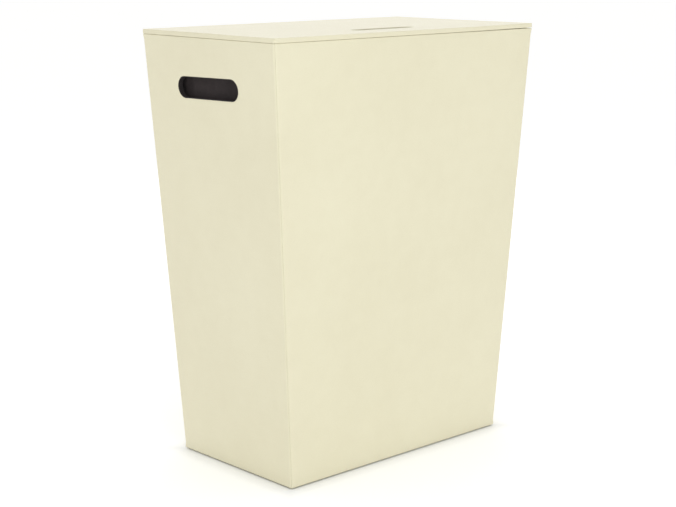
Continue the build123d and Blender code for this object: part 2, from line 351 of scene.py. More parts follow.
# %% The four wall leathers
grid_step = 7 * MM
covers = {}
for number, side in enumerate(("front", "rear", "left", "right")):
    holed = side in ("left", "right")
    face_low, face_high = foot_z + edge_radius, rim_z - edge_radius
    if holed:
        margin = 5 * MM
        heights = spaced(face_low, face_high, grid_step, hole_z - hole_radius - margin,
                         hole_z + hole_radius + margin, 1 * MM)
        half_run = half_width(hole_z) - corner_radius
        fine = (hole_half + margin + abs(hole_y)) / half_run
        along = spaced(-1, 1, grid_step / half_run, -fine, fine, 1.2 * MM / half_run)
    else:
        heights = spaced(face_low, face_high, grid_step)
        along = spaced(-1, 1, grid_step / half_length(rim_z))

    def unevenness(a, z, seed=number, side=side):
        """Leather over board: swells a tenth of a millimetre, and dips at the hand hole."""
        swell = ripple(a, z, 20 + seed, swell_length, swell_depth)
        if side in ("left", "right"):
            y = middle_y + (a if side == "right" else -a)
            near = np.exp(-np.maximum(hole_distance(y, z), 0) / press_width)
            swell = swell * (1 - near) - press_depth * near
        return swell

    piece = skin_piece("leather_" + side, *panel_points(side, heights, along, unevenness))
    if holed:
        reach = half_length(rim_z) + 10 * MM
        span = (-reach, 0) if side == "left" else (0, reach)
        punch(piece, hole_prism("cutter", *span))
    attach(piece, "hamper_body")
    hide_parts(side + "_cover")
    covers[side] = piece
    print(piece.name, len(piece.data.polygons), "faces")

# %% [markdown]
# ## The lid's leather
# One sheet covers the lid. It starts under the lid round the finger slot, comes up through the
# slot, spreads over the top, turns down round the four edges and ends glued underneath. Seen
# from above this is a ring, so the grid is closed round the slot, and its rows run outwards.

# %% Paths round the lid and round the slot
lid_low, lid_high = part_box("lid_cover")
lid_half_x = (lid_high.x - lid_low.x) / 2
lid_half_y = (lid_high.y - lid_low.y) / 2
lid_edge = 1.2 * MM          # rounding of the upper edge
lid_low_edge = 0.7 * MM      # and of the lower one, which is pressed tighter
lid_hang = 0.3 * MM          # how far the turned leather hangs below the board's underside
lid_corner = 2.0 * MM
slot_half, slot_radius = 57 * MM, 9.5 * MM
slot_y = lid_low.y + 58.5 * MM
slot_edge = 0.6 * MM
slot_turn_in = 8 * MM
lid_turn_in = 20 * MM


def rounded_path(half_x, half_y, corner, step):
    """Rounded rectangle: points and outward directions, anticlockwise from the front right."""
    points, headings = [], []
    sides = [((1, -1), -90), ((1, 1), 0), ((-1, 1), 90), ((-1, -1), 180)]
    for number, ((sx, sy), start) in enumerate(sides):
        cx, cy = sx * (half_x - corner), sy * (half_y - corner)
        angles = np.radians(start + np.linspace(0, 90, 9))
        for angle in angles:
            headings.append((math.cos(angle), math.sin(angle)))
            points.append((cx + corner * math.cos(angle), cy + corner * math.sin(angle)))
        (nx, ny), _ = sides[(number + 1) % 4]
        first = np.array(points[-1])
        last_angle = angles[-1]
        end = np.array([nx * (half_x - corner), ny * (half_y - corner)])
        last = end + corner * np.array([math.cos(last_angle), math.sin(last_angle)])
        count = max(2, int(np.linalg.norm(last - first) / step))
        for share in np.linspace(0, 1, count + 1)[1:-1]:
            points.append(tuple(first + share * (last - first)))
            headings.append(headings[-1])
    return np.array(points), np.array(headings)


def slot_path(directions):
    """Where rays from the slot's middle meet its edge, and the edge's outward direction there.

    A ray meets a straight side at radius / |sine|; past the side's end it meets the round end,
    where distance t solves |t x ray - end centre| = radius."""
    unit = directions / np.linalg.norm(directions, axis=1, keepdims=True)
    straight = slot_half - slot_radius
    t = slot_radius / np.maximum(np.abs(unit[:, 1]), 1e-9)
    on_side = np.abs(unit[:, 0]) * t <= straight
    along = straight * np.abs(unit[:, 0])
    t_end = along + np.sqrt(np.maximum(along ** 2 - straight ** 2 + slot_radius ** 2, 0))
    t = np.where(on_side, t, t_end)
    points = unit * t[:, None]
    centre = np.stack([np.clip(points[:, 0], -straight, straight), 0 * t], -1)
    heading = (points - centre) / slot_radius
    return points, heading


# %% The lid's sheet
def lid_points():
    """Rows of rings: under the slot, up through it, across the top, down the edge, under it.

    Each ring is a path moved along its own outward direction; across the top the rings pass in
    straight lines from the slot's path to the lid's."""
    outer, outer_out = rounded_path(lid_half_x - lid_edge, lid_half_y - lid_edge,
                                    lid_corner - lid_edge, 4 * MM)
    middle = np.array([0, middle_y])
    outer = outer + middle
    centre = np.array([0, slot_y])
    inner, inner_out = slot_path(outer - centre)
    inner = inner + centre
    low, high = lid_low.z, lid_high.z
    arc = np.linspace(0, math.pi / 2, 7)
    rings = []

    def level_ring(path, z):
        rings.append(np.hstack([path, np.full((len(path), 1), z)]))

    def ring(path, out, offset, z):
        level_ring(path + out * offset, z)

    for offset in np.linspace(slot_turn_in, slot_edge, 4):
        ring(inner, inner_out, offset, low)
    for angle in arc[1:]:
        ring(inner, inner_out, slot_edge * (1 - math.sin(angle)),
             low + slot_edge * (1 - math.cos(angle)))
    for angle in arc:
        ring(inner, inner_out, slot_edge * (1 - math.cos(angle)),
             high - slot_edge * (1 - math.sin(angle)))
    start = inner + inner_out * slot_edge
    for share in spaced(0, 1, 0.035)[1:-1]:
        level_ring(start + share * (outer - start), high)
    for angle in arc:
        ring(outer, outer_out, lid_edge * math.sin(angle), high - lid_edge * (1 - math.cos(angle)))
    for angle in arc:
        ring(outer, outer_out, lid_edge - lid_low_edge * (1 - math.cos(angle)),
             low - lid_hang + lid_low_edge * (1 - math.sin(angle)))
    for inset in np.linspace(0, lid_turn_in - lid_edge, 7)[1:]:
        shrink = 1 - inset / np.array([lid_half_x, lid_half_y])
        sink = lid_hang * float(smooth_step(1 - inset / (8 * MM)))
        level_ring((outer - middle) * shrink + middle, low - sink)
    return np.array(rings), outer_out


# %% [markdown]
# Nothing made by hand lies dead flat. The wrapped lid is a touch warped, so the seam under it
# is a little wider at the front right corner, and at each upright corner the leather is folded
# under in a small crease.

# %% Warp and creases
warp_right, warp_left = 0.7 * MM, -0.12 * MM      # at the two front corners
crease_depth, crease_width = 0.45 * MM, 0.22


def lid_warp(x, y):
    """Rise of the lid: it stands up a little at the front right and dips at the front left."""
    right = np.clip(x / lid_half_x, -1, 1)
    front = np.clip(-(y - middle_y) / lid_half_y, 0, 1)
    return front * right ** 2 * np.where(right > 0, warp_right, warp_left)


rings, lid_out = lid_points()
x, y, z = rings[..., 0], rings[..., 1], rings[..., 2]
diagonal = np.abs(np.abs(lid_out[:, 0]) - np.abs(lid_out[:, 1]))[None, :]
below_top = smooth_step((lid_high.z - z) / (2.5 * MM))
outside = smooth_step((np.maximum(np.abs(x) - lid_half_x, np.abs(y - middle_y) - lid_half_y) + 6 * MM)
                      / (4 * MM))
crease = crease_depth * np.exp(-(diagonal / crease_width) ** 2) * below_top * outside
x = x - crease * lid_out[None, :, 0]
y = y - crease * lid_out[None, :, 1]
swell = ripple(x, y, 31, 0.17, 0.12 * MM) * smooth_step((z - lid_high.z) / MM + 1)
z = z + lid_warp(x, y) + swell
leather_lid = grid_piece("leather_lid", np.stack([x, y, z], -1), close_u=True)
leather_lid.data.flip_normals()
give_thickness(leather_lid, leather)
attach(leather_lid, "lid")
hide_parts("lid_cover")
print("lid leather", len(leather_lid.data.polygons), "faces")

# %% [markdown]
# ## The hinge strip
# The lid swings on a strip of the same leather, glued to the lid's rear edge and to the rear
# wall, and bare between them. It is one sheet here: below the rim it lies on the leaning wall,
# and above the rim it stands upright beside the lid.

# %% Hinge strip and its stitches
strip_low, strip_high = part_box("hinge_flap_wall")[0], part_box("hinge_flap_lid")[1]
strip_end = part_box("hinge_flap_lid")[1].x
strip_thick = 0.95 * MM
seam_low, seam_high = rim_z, lid_low.z
strip_z = np.concatenate([np.linspace(strip_low.z, seam_low - 1 * MM, 9)[:-1],
                          np.linspace(seam_low - 1 * MM, seam_high + 1 * MM, 12)[:-1],
                          np.linspace(seam_high + 1 * MM, strip_high.z, 5)])


def wall_behind(z):
    """Outer face of the strip: it lies on the leaning wall, and stands upright on the lid."""
    return np.minimum(half_width(z) + middle_y, half_width(rim_z) + middle_y) + 1 * MM


def strip_points():
    """Sheet behind the seam: straight along x, following the wall's lean below the rim."""
    x = np.linspace(strip_end, -strip_end, 90)[None, :]
    z = strip_z[:, None]
    lift = ripple(x, 3 * z, 41, 0.12, 0.10 * MM) * np.minimum(1, (seam_low - z).clip(0) / (6 * MM))
    y = wall_behind(z) + lift
    return np.stack(np.broadcast_arrays(x, y, z), -1)


hinge_strip = grid_piece("hinge_strip", strip_points())
give_thickness(hinge_strip, strip_thick)
bevel = hinge_strip.modifiers.new("soft_edge", "BEVEL")
bevel.width, bevel.segments, bevel.limit_method = 0.3 * MM, 2, "ANGLE"
bake_modifiers(hinge_strip)
hinge_strip.data.shade_smooth()
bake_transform(hinge_strip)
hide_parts("hinge_flap_wall", "hinge_flap_lid")


def stitches(name, places, along, outward, length, radius):
    """One mesh of many short threads: each is a bead stretched along its seam, half sunk.

    Point = place + along x length/2 x cosine + across and outward x radius x sine of the bead."""
    ring = np.linspace(0, 2 * math.pi, 7)[:-1]
    reach = np.cos(np.linspace(0, math.pi, 6)) * length / 2
    girth = np.sin(np.linspace(0, math.pi, 6)) ** 0.6 * radius
    across = np.cross(outward, along)
    beads = (places[:, None, None, :] + along[:, None, None, :] * reach[None, :, None, None]
             + girth[None, :, None, None] * (across[:, None, None, :] * np.cos(ring)[None, None, :, None]
                                             + outward[:, None, None, :] * np.sin(ring)[None, None, :, None]))
    count, rows, columns = beads.shape[:3]
    index = np.arange(count * rows * columns).reshape(count, rows, columns)
    wrapped = np.concatenate([index, index[..., :1]], -1)
    quads = np.stack([wrapped[:, :-1, :-1], wrapped[:, :-1, 1:], wrapped[:, 1:, 1:], wrapped[:, 1:, :-1]], -1)
    mesh = bpy.data.meshes.new(name)
    mesh.from_pydata(beads.reshape(-1, 3).tolist(), [], quads.reshape(-1, 4).tolist())
    clean = bmesh.new()
    clean.from_mesh(mesh)
    bmesh.ops.remove_doubles(clean, verts=clean.verts, dist=0.02 * MM)
    bmesh.ops.recalc_face_normals(clean, faces=clean.faces)
    clean.to_mesh(mesh)
    clean.free()
    mesh.shade_smooth()
    return add_object(name, mesh)


stitch_z = strip_low.z + 3.5 * MM
stitch_spacing, stitch_length, thread_radius = 4.2 * MM, 3.1 * MM, 0.34 * MM
stitch_x = np.arange(-strip_end + 5 * MM, strip_end - 4 * MM, stitch_spacing)
stitch_at = np.stack(np.broadcast_arrays(stitch_x, wall_behind(stitch_z), stitch_z), -1)
hinge_stitches = stitches("hinge_stitches", stitch_at, np.tile((1.0, 0, 0), (len(stitch_x), 1)),
                          np.tile((0.0, 1, 0), (len(stitch_x), 1)), stitch_length, thread_radius)
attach(hinge_stitches, "hamper_body")
print("hinge stitches", len(stitch_x))

# %% [markdown]
# ## The cloth bag
# The bag is sewn a little larger than the space it hangs in. It is held at its hem and rests
# on the floor, and the spare cloth between them settles into soft folds. Cloth simulation
# finds those folds: the hem and the floor are pinned, and the cloth between is let out.

# %% The bag's form
bag_low, bag_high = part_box("laundry_bag")
bag_cloth = 0.7 * MM
tape_low_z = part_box("bag_loop_tape")[0].z
bag_corner = 40 * MM
bag_sag, bag_belly, hem_step = 5 * MM, 3 * MM, 14 * MM    # how the cloth stands off the walls
top_inset = half_length(bag_high.z) - bag_high.x + bag_cloth / 2
LONG_STEPS, SHORT_STEPS, CORNER_STEPS = 44, 24, 10


def bag_inset(z):
    """How far the cloth hangs inside the leather at height z: close at the hem, further below."""
    low, high = bag_low.z, tape_low_z
    sag = bag_sag + bag_belly * np.clip((high - z) / (high - low), 0, 1)
    return top_inset + sag * smooth_step((high - z) / hem_step)


def even_path(half_x, half_y, corner):
    """Rounded rectangle with the same number of points at any size, anticlockwise."""
    points, headings = [], []
    order = [((1, -1), -90, SHORT_STEPS), ((1, 1), 0, LONG_STEPS),
             ((-1, 1), 90, SHORT_STEPS), ((-1, -1), 180, LONG_STEPS)]
    for number, ((sx, sy), start, steps) in enumerate(order):
        angles = np.radians(start + np.linspace(0, 90, CORNER_STEPS))
        middle = np.array([sx * (half_x - corner), sy * (half_y - corner)])
        turned = np.stack([np.cos(angles), np.sin(angles)], -1)
        points.append(middle + corner * turned)
        headings.append(turned)
        (nx, ny), _, _ = order[(number + 1) % 4]
        first = points[-1][-1]
        last = np.array([nx * (half_x - corner), ny * (half_y - corner)]) + corner * turned[-1]
        share = np.linspace(0, 1, steps + 1)[1:-1, None]
        points.append(first + share * (last - first))
        headings.append(np.repeat(turned[-1:], steps - 1, 0))
    return np.concatenate(points), np.concatenate(headings)


def bag_rings():
    """Rings of the bag from its top edge down the walls, round the heel and in over the floor."""
    heel = 10 * MM
    heights = np.linspace(bag_high.z, bag_low.z + bag_cloth + heel, 64)
    rings = []
    for z in heights:
        path, _ = even_path(half_length(z) - bag_inset(z), half_width(z) - bag_inset(z), bag_corner)
        rings.append(np.hstack([path, np.full((len(path), 1), z)]))
    base, out = even_path(half_length(heights[-1]) - bag_inset(heights[-1]),
                          half_width(heights[-1]) - bag_inset(heights[-1]), bag_corner)
    for angle in np.linspace(0, math.pi / 2, 6)[1:]:
        path = base - out * heel * (1 - math.cos(angle))
        z = heights[-1] - heel * math.sin(angle)
        rings.append(np.hstack([path, np.full((len(path), 1), z)]))
    edge = rings[-1][:, :2]
    for share in np.linspace(1, 0, 15)[1:]:
        rings.append(np.hstack([edge * share, np.full((len(edge), 1), rings[-1][0, 2])]))
    rings = np.array(rings)
    rings[..., 1] += middle_y
    return rings


def cloth_uv(piece):
    """UV in metres: (way round the bag, height) on upright faces and (x, y) on level ones."""
    path, _ = even_path(bag_high.x, bag_high.y - middle_y, bag_corner)
    path = np.vstack([path, path[:1]])
    turned = np.unwrap(np.arctan2(path[:, 1], path[:, 0]))
    walked = np.concatenate([[0], np.cumsum(np.linalg.norm(np.diff(path, axis=0), axis=1))])
    mesh = piece.data
    points = mesh_points(mesh)
    corners = np.empty(len(mesh.loops), int)
    mesh.loops.foreach_get("vertex_index", corners)
    sizes = np.empty(len(mesh.polygons), int)
    mesh.polygons.foreach_get("loop_total", sizes)
    starts = np.concatenate([[0], np.cumsum(sizes)[:-1]])
    x, y, z = points[corners].T
    angle = np.arctan2(y - middle_y, x)
    angle = turned[0] + np.mod(angle - turned[0], 2 * math.pi)
    around = np.interp(angle, turned, walked)
    furthest = np.repeat(np.maximum.reduceat(around, starts), sizes)
    around = np.where(furthest - around > walked[-1] / 2, around + walked[-1], around)
    height = np.repeat(np.maximum.reduceat(z, starts), sizes)
    level = height < bag_low.z + 3 * MM
    uv = np.where(level[:, None], np.stack([x, y], -1), np.stack([around, z], -1))
    layer = mesh.uv_layers.new(name="UVMap")
    layer.data.foreach_set("uv", uv.ravel())


# %% Cloth simulation of the bag
spare_cloth, settling_frames = 0.04, 18
start_fold = 4.5 * MM


def let_out_cloth(piece, pinned, spare, frames):
    """Runs Cloth on a piece with some points pinned and its cloth let out by a share."""
    group = piece.vertex_groups.new(name="pinned")
    for level in np.unique(pinned):
        if level > 0:
            group.add(np.flatnonzero(pinned == level).tolist(), float(level), "REPLACE")
    cloth = piece.modifiers.new("cloth", "CLOTH")
    settings = cloth.settings
    settings.vertex_group_mass = "pinned"
    settings.shrink_min = -spare
    settings.quality = 6
    settings.mass = 0.25
    settings.tension_stiffness = 20
    settings.compression_stiffness = 20
    settings.shear_stiffness = 8
    settings.bending_stiffness = 1.5
    settings.air_damping = 4
    cloth.collision_settings.use_collision = False
    cloth.collision_settings.use_self_collision = False
    scene = bpy.context.scene
    cloth.point_cache.frame_start, cloth.point_cache.frame_end = 1, frames
    for number in range(1, frames + 1):
        scene.frame_set(number)
    bake_modifiers(piece)
    piece.vertex_groups.clear()
    scene.frame_set(1)


def merge_poles(piece):
    """Joins the points of a grid that fell together, so that a pole is one closed fan."""
    clean = bmesh.new()
    clean.from_mesh(piece.data)
    bmesh.ops.remove_doubles(clean, verts=clean.verts, dist=0.05 * MM)
    clean.to_mesh(piece.data)
    clean.free()


def hanging_folds(points, seed, depth):
    """Upright folds round the bag: sine waves, a whole number of them to a turn, each leaning
    a little with height."""
    draw = np.random.default_rng(seed)
    around = np.arctan2(2 * (points[:, 1] - middle_y), points[:, 0])
    total = np.zeros(len(points))
    for _ in range(7):
        count, phase, lean = draw.integers(4, 15), draw.uniform(0, 2 * math.pi), draw.uniform(-9, 9)
        total += np.sin(count * around + phase + lean * points[:, 2])
    return total * depth / math.sqrt(7)


rings = bag_rings()
bag = grid_piece("laundry_bag_cloth", rings[::-1], close_u=True)
merge_poles(bag)
before = mesh_points(bag.data)
flat_out = before[:, :2] - np.array([0, middle_y])
flat_out /= np.maximum(np.linalg.norm(flat_out, axis=1, keepdims=True), 1e-9)
drop = np.clip((tape_low_z - before[:, 2]) / (tape_low_z - bag_low.z), 0, 1)
loose = smooth_step((drop - 0.02) / 0.3) * smooth_step((before[:, 2] - bag_low.z) / (60 * MM))
started = before.copy()
started[:, :2] += flat_out * (hanging_folds(before, 61, start_fold) * loose)[:, None]
bag.data.vertices.foreach_set("co", started.ravel())
bag.data.update()
pinned = np.where((before[:, 2] > tape_low_z - 4 * MM) | (before[:, 2] < bag_low.z + 2 * MM), 1.0, 0.0)
let_out_cloth(bag, pinned, spare_cloth, settling_frames)
after = mesh_points(bag.data)

# %% [markdown]
# The simulation knows nothing of the walls, so the whole bag swells. The swelling shared by a
# whole ring is taken off, which leaves the folds. Each point's move is then limited: outwards it
# stops just short of the lining, and inwards it may go further the lower it is.

# %% Keep the folds inside the box
move = after - before
outward = (move[:, :2] * flat_out).sum(1)
_, ring_of = np.unique(np.round(before[:, 2] / (0.01 * MM)), return_inverse=True)
shared = np.bincount(ring_of, outward) / np.bincount(ring_of)
outward = outward - shared[ring_of] - 2 * MM * loose
room = 1.2 * MM + 1.5 * MM * drop                                # outwards, up to the lining
fold = 0.8 * MM + 16 * MM * smooth_step((drop - 0.12) / 0.5)     # inwards
limited = np.where(outward > 0, room * np.tanh(outward / room), fold * np.tanh(outward / fold))
move[:, :2] = flat_out * limited[:, None]
move[:, 2] = np.clip(move[:, 2], -6 * MM, 6 * MM)
settled = before + move
settled[:, 2] = np.maximum(settled[:, 2], bag_low.z + bag_cloth)
creases = ripple(before[:, 0], before[:, 1], 51, 0.09, 1.2 * MM) + ripple(
    before[:, 0], before[:, 1], 52, 0.03, 0.5 * MM)
on_floor = smooth_step((bag_low.z + 4 * MM - before[:, 2]) / (3 * MM))
settled[:, 2] += np.abs(creases) * on_floor
bag.data.vertices.foreach_set("co", settled.ravel())
bag.data.update()
cloth_uv(bag)
give_thickness(bag, bag_cloth)
bag.data.shade_smooth()
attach(bag, "hamper_body")
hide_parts("laundry_bag")
print("bag moved in by up to", round(float(-limited.min() / MM), 1), "mm")

# %% [markdown]
# The top of the bag is bound: a band of the cloth is folded over the edge and sewn down with
# two rows of thread. A band is a profile carried round the bag's own path.

# %% Bound hem and its stitches
def carry_round(profile):
    """Rings of a profile of (inset from the cloth, height) carried round the bag's top."""
    rings = []
    for inset, z in profile:
        path, _ = even_path(half_length(z) - top_inset - inset, half_width(z) - top_inset - inset,
                            bag_corner - inset)
        rings.append(np.hstack([path + np.array([0, middle_y]), np.full((len(path), 1), z)]))
    return np.array(rings)


hem_top = bag_high.z + 0.6 * MM
hem_drop = 19 * MM
hem_half = 0.9 * MM          # half the hem's thickness over the cloth
fold_arc = np.linspace(0, math.pi, 9)
hem_profile = [(hem_half, z) for z in np.linspace(hem_top - hem_drop, hem_top - 1 * MM, 10)]
hem_profile += [(hem_half * math.cos(a), hem_top - 1 * MM + hem_half * math.sin(a))
                for a in fold_arc[1:-1]]
hem_profile += [(-hem_half, hem_top - 1 * MM)]
bag_hem = grid_piece("bag_hem", carry_round(hem_profile), close_u=True)
bag_hem.data.flip_normals()
cloth_uv(bag_hem)
give_thickness(bag_hem, 0.45 * MM)
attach(bag_hem, "hamper_body")


def ring_stitches(name, z, inset, spacing):
    """Stitches evenly spaced round the inside of the hem at one height."""
    path = carry_round([(inset, z)])[0]
    closed = np.vstack([path, path[:1]])
    length = np.concatenate([[0], np.cumsum(np.linalg.norm(np.diff(closed, axis=0), axis=1))])
    at = np.linspace(0, length[-1], int(length[-1] / spacing), endpoint=False)
    places = np.stack([np.interp(at, length, closed[:, i]) for i in range(3)], -1)
    ahead = np.stack([np.interp((at + 0.5 * MM) % length[-1], length, closed[:, i]) for i in range(3)], -1)
    along = ahead - places
    along /= np.linalg.norm(along, axis=1, keepdims=True)
    inward = np.stack([-along[:, 1], along[:, 0], 0 * at], -1)
    return stitches(name, places, along, inward, 2.6 * MM, 0.28 * MM)


hem_rows = []
for name, height in (("hem_stitches_upper", hem_top - 4 * MM), ("hem_stitches_lower", hem_top - 16.5 * MM)):
    row = ring_stitches(name, height, 0.95 * MM, 3.6 * MM)
    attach(row, "hamper_body")
    hem_rows.append(row)

# %% [markdown]
# The handles are flat webbing. A flat band carried along a U: two legs sewn under the hem, and
# a bow that stands off the cloth a little, because stiff webbing doesn't lie flat in a bend.

# %% Bag handles
handle_half_width = 12.5 * MM
handle_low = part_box("bag_handle_left")[0].z
handle_reach = (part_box("bag_handle_left")[1].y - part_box("bag_handle_left")[0].y) / 2 - handle_half_width


def handle_points(side_sign):
    """Band points [along, across]: the path runs down a leg, round the bow and up again."""
    bow_z = handle_low + handle_half_width + handle_reach
    top = hem_top - 2 * MM
    legs = np.linspace(top, bow_z, 10)[:-1]
    bow = np.linspace(math.pi, 2 * math.pi, 36)
    y = np.concatenate([np.full(9, -handle_reach), handle_reach * np.cos(bow), np.full(9, handle_reach)])
    z = np.concatenate([legs, bow_z + handle_reach * np.sin(bow), legs[::-1]])
    tangent = np.stack([np.gradient(y), np.gradient(z)], -1)
    tangent /= np.linalg.norm(tangent, axis=1, keepdims=True)
    side = np.stack([-tangent[:, 1], tangent[:, 0]], -1)
    across = np.linspace(-1, 1, 13)
    yy = y[:, None] + side[:, :1] * across * handle_half_width
    zz = z[:, None] + side[:, 1:] * across * handle_half_width
    stand_off = 1.9 * MM + 3.5 * MM * smooth_step((bow_z + 8 * MM - z[:, None]) / (30 * MM))
    inset = bag_inset(zz) + stand_off + 0.5 * MM * np.abs(across) ** 3
    xx = side_sign * (half_length(zz) - inset)
    length = np.concatenate([[0], np.cumsum(np.hypot(np.diff(y), np.diff(z)))])
    uv = np.stack(np.broadcast_arrays(across * handle_half_width, length[:, None]), -1)
    return np.stack([xx, yy + middle_y, zz], -1), uv


webbing = {}
for side, side_sign in (("left", -1), ("right", 1)):
    points, uv = handle_points(side_sign)
    handle = grid_piece("webbing_" + side, points if side_sign > 0 else points[::-1],
                        uv=uv if side_sign > 0 else uv[::-1])
    handle.data.flip_normals()
    give_thickness(handle, 1.4 * MM)
    edge = handle.modifiers.new("soft_edge", "BEVEL")
    edge.width, edge.segments, edge.limit_method = 0.4 * MM, 2, "ANGLE"
    bake_modifiers(handle)
    handle.data.shade_smooth()
    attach(handle, "hamper_body")
    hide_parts("bag_handle_" + side)
    webbing[side] = handle

# %% [markdown]
# ## What each sheet was cut to
# A wall's leather is cut as the board's own tapered outline, longer by what goes over the rim and
# under the board; it ends at the corner seams. The lid's is a rectangle less a rough area for the
# slot, and the bag is one strip for its walls, with a rough share taken off for the taper, and
# one piece for its floor. The code below only works out each wall's width at the rim and at the
# foot, the path round the bag's top and the size of its floor, and makes nothing of them.

# %% Flat sizes of the sheets
def declare_wall(run):
    """Widths of one wall's leather at the rim and at the foot, worked out and not used."""
    wide, narrow = 2 * run(rim_z), 2 * run(foot_z)


for side, run in (("front", half_length), ("rear", half_length), ("left", half_width), ("right", half_width)):
    declare_wall(run)

bag_path = carry_round([(0, bag_high.z)])[0]
bag_floor = [2 * (reach(bag_low.z) - bag_inset(bag_low.z)) for reach in (half_length, half_width)]
for side, handle in webbing.items():
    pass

# %% [markdown]
# ## Finishes
# A material is a few shader nodes. The parts that several finishes share are node groups: the
# grain of coated leather, the over-and-under of woven cloth, and a slow unevenness of tone.

# %% Node group helpers
def new_group(name, inputs, outputs):
    """Empty shader node group with named sockets: returns it with its input and output nodes."""
    group = bpy.data.node_groups.new(name, "ShaderNodeTree")
    for label, kind, default in inputs:
        socket = group.interface.new_socket(label, in_out="INPUT", socket_type=kind)
        if default is not None:
            socket.default_value = default
    for label, kind in outputs:
        group.interface.new_socket(label, in_out="OUTPUT", socket_type=kind)
    return group, group.nodes.new("NodeGroupInput"), group.nodes.new("NodeGroupOutput")


def math_node(tree, operation, first, second=None):
    """Math node fed by sockets or plain numbers; returns its output socket."""
    node = tree.nodes.new("ShaderNodeMath")
    node.operation = operation
    for slot, value in enumerate((first, second)):
        if isinstance(value, bpy.types.NodeSocket):
            tree.links.new(value, node.inputs[slot])
        elif value is not None:
            node.inputs[slot].default_value = value
    return node.outputs[0]


def texture(tree, kind, vector, scale, **settings):
    """Procedural texture node read at a vector, its scale a number or a socket."""
    node = tree.nodes.new("ShaderNodeTex" + kind)
    tree.links.new(vector, node.inputs["Vector"])
    if isinstance(scale, bpy.types.NodeSocket):
        tree.links.new(scale, node.inputs["Scale"])
    else:
        node.inputs["Scale"].default_value = scale
    for label, value in settings.items():
        if label in node.inputs:
            node.inputs[label].default_value = value
        else:
            setattr(node, label, value)
    return node


def remap(tree, value, low, high, to_low, to_high):
    """Map Range node with clamping; returns its output socket."""
    node = tree.nodes.new("ShaderNodeMapRange")
    tree.links.new(value, node.inputs["Value"])
    for label, number in (("From Min", low), ("From Max", high), ("To Min", to_low), ("To Max", to_high)):
        node.inputs[label].default_value = number
    return node.outputs["Result"]


# %% [markdown]
# Coated leather is pressed with a plate of small rounded pebbles, about one millimetre across,
# with creases between them. A Voronoi pattern gives the pebbles, warped by a slow noise so
# they aren't all alike, and a fine noise gives the pores.

# %% Leather grain group
def make_grain_group():
    """Pebble height = distance to the cell's edge, flattened on top, plus fine pores."""
    group, given, result = new_group(
        "pressed_grain",
        [("Vector", "NodeSocketVector", None), ("Scale", "NodeSocketFloat", 900.0)],
        [("Height", "NodeSocketFloat"), ("Valley", "NodeSocketFloat")])
    vector, scale = given.outputs["Vector"], given.outputs["Scale"]
    bend = texture(group, "Noise", vector, math_node(group, "MULTIPLY", scale, 0.35), Detail=2.0)
    offset = group.nodes.new("ShaderNodeVectorMath")
    offset.operation = "MULTIPLY_ADD"
    group.links.new(bend.outputs["Color"], offset.inputs[0])
    offset.inputs[1].default_value = (0.0007, 0.0007, 0.0007)
    group.links.new(vector, offset.inputs[2])
    cells = texture(group, "Voronoi", offset.outputs[0], scale, feature="DISTANCE_TO_EDGE")
    pebble = remap(group, cells.outputs["Distance"], 0.0, 0.28, 0.0, 1.0)
    pores = texture(group, "Noise", vector, math_node(group, "MULTIPLY", scale, 4.0), Detail=3.0)
    fine = math_node(group, "MULTIPLY", pores.outputs["Fac"], 0.35)
    height = math_node(group, "ADD", pebble, fine)
    valley = math_node(group, "SUBTRACT", 1.0, pebble)
    group.links.new(height, result.inputs["Height"])
    group.links.new(valley, result.inputs["Valley"])
    return group


def make_weave_group():
    """Plain weave: sine of u times sine of v gives raised squares, over and under in turn."""
    group, given, result = new_group(
        "plain_weave",
        [("Vector", "NodeSocketVector", None), ("Threads", "NodeSocketFloat", 1200.0)],
        [("Height", "NodeSocketFloat"), ("Fibre", "NodeSocketFloat")])
    parts = group.nodes.new("ShaderNodeSeparateXYZ")
    group.links.new(given.outputs["Vector"], parts.inputs[0])
    turns = math_node(group, "MULTIPLY", given.outputs["Threads"], math.pi)
    waves = []
    for axis in ("X", "Y"):
        angle = math_node(group, "MULTIPLY", parts.outputs[axis], turns)
        waves.append(math_node(group, "SINE", angle))
    over = math_node(group, "MULTIPLY", waves[0], waves[1])
    fibre = texture(group, "Noise", given.outputs["Vector"], given.outputs["Threads"], Detail=2.0)
    rough = math_node(group, "MULTIPLY", fibre.outputs["Fac"], 0.5)
    height = math_node(group, "ADD", remap(group, over, -1.0, 1.0, 0.0, 1.0), rough)
    group.links.new(height, result.inputs["Height"])
    group.links.new(fibre.outputs["Fac"], result.inputs["Fibre"])
    return group


def make_tone_group():
    """Slow unevenness: two noises of different size, mixed between a dark and a light colour."""
    group, given, result = new_group(
        "uneven_tone",
        [("Vector", "NodeSocketVector", None), ("Size", "NodeSocketFloat", 6.0),
         ("Dark", "NodeSocketColor", None), ("Light", "NodeSocketColor", None)],
        [("Color", "NodeSocketColor"), ("Mask", "NodeSocketFloat")])
    vector, size = given.outputs["Vector"], given.outputs["Size"]
    broad = texture(group, "Noise", vector, size, Detail=3.0)
    close = texture(group, "Noise", vector, math_node(group, "MULTIPLY", size, 9.0), Detail=4.0)
    mixed = math_node(group, "ADD", math_node(group, "MULTIPLY", broad.outputs["Fac"], 0.65),
                      math_node(group, "MULTIPLY", close.outputs["Fac"], 0.35))
    mask = remap(group, mixed, 0.35, 0.65, 0.0, 1.0)
    blend = group.nodes.new("ShaderNodeMix")
    blend.data_type = "RGBA"
    group.links.new(mask, blend.inputs["Factor"])
    group.links.new(given.outputs["Dark"], blend.inputs[6])
    group.links.new(given.outputs["Light"], blend.inputs[7])
    group.links.new(blend.outputs[2], result.inputs["Color"])
    group.links.new(mask, result.inputs["Mask"])
    return group


grain_group, weave_group, tone_group = make_grain_group(), make_weave_group(), make_tone_group()


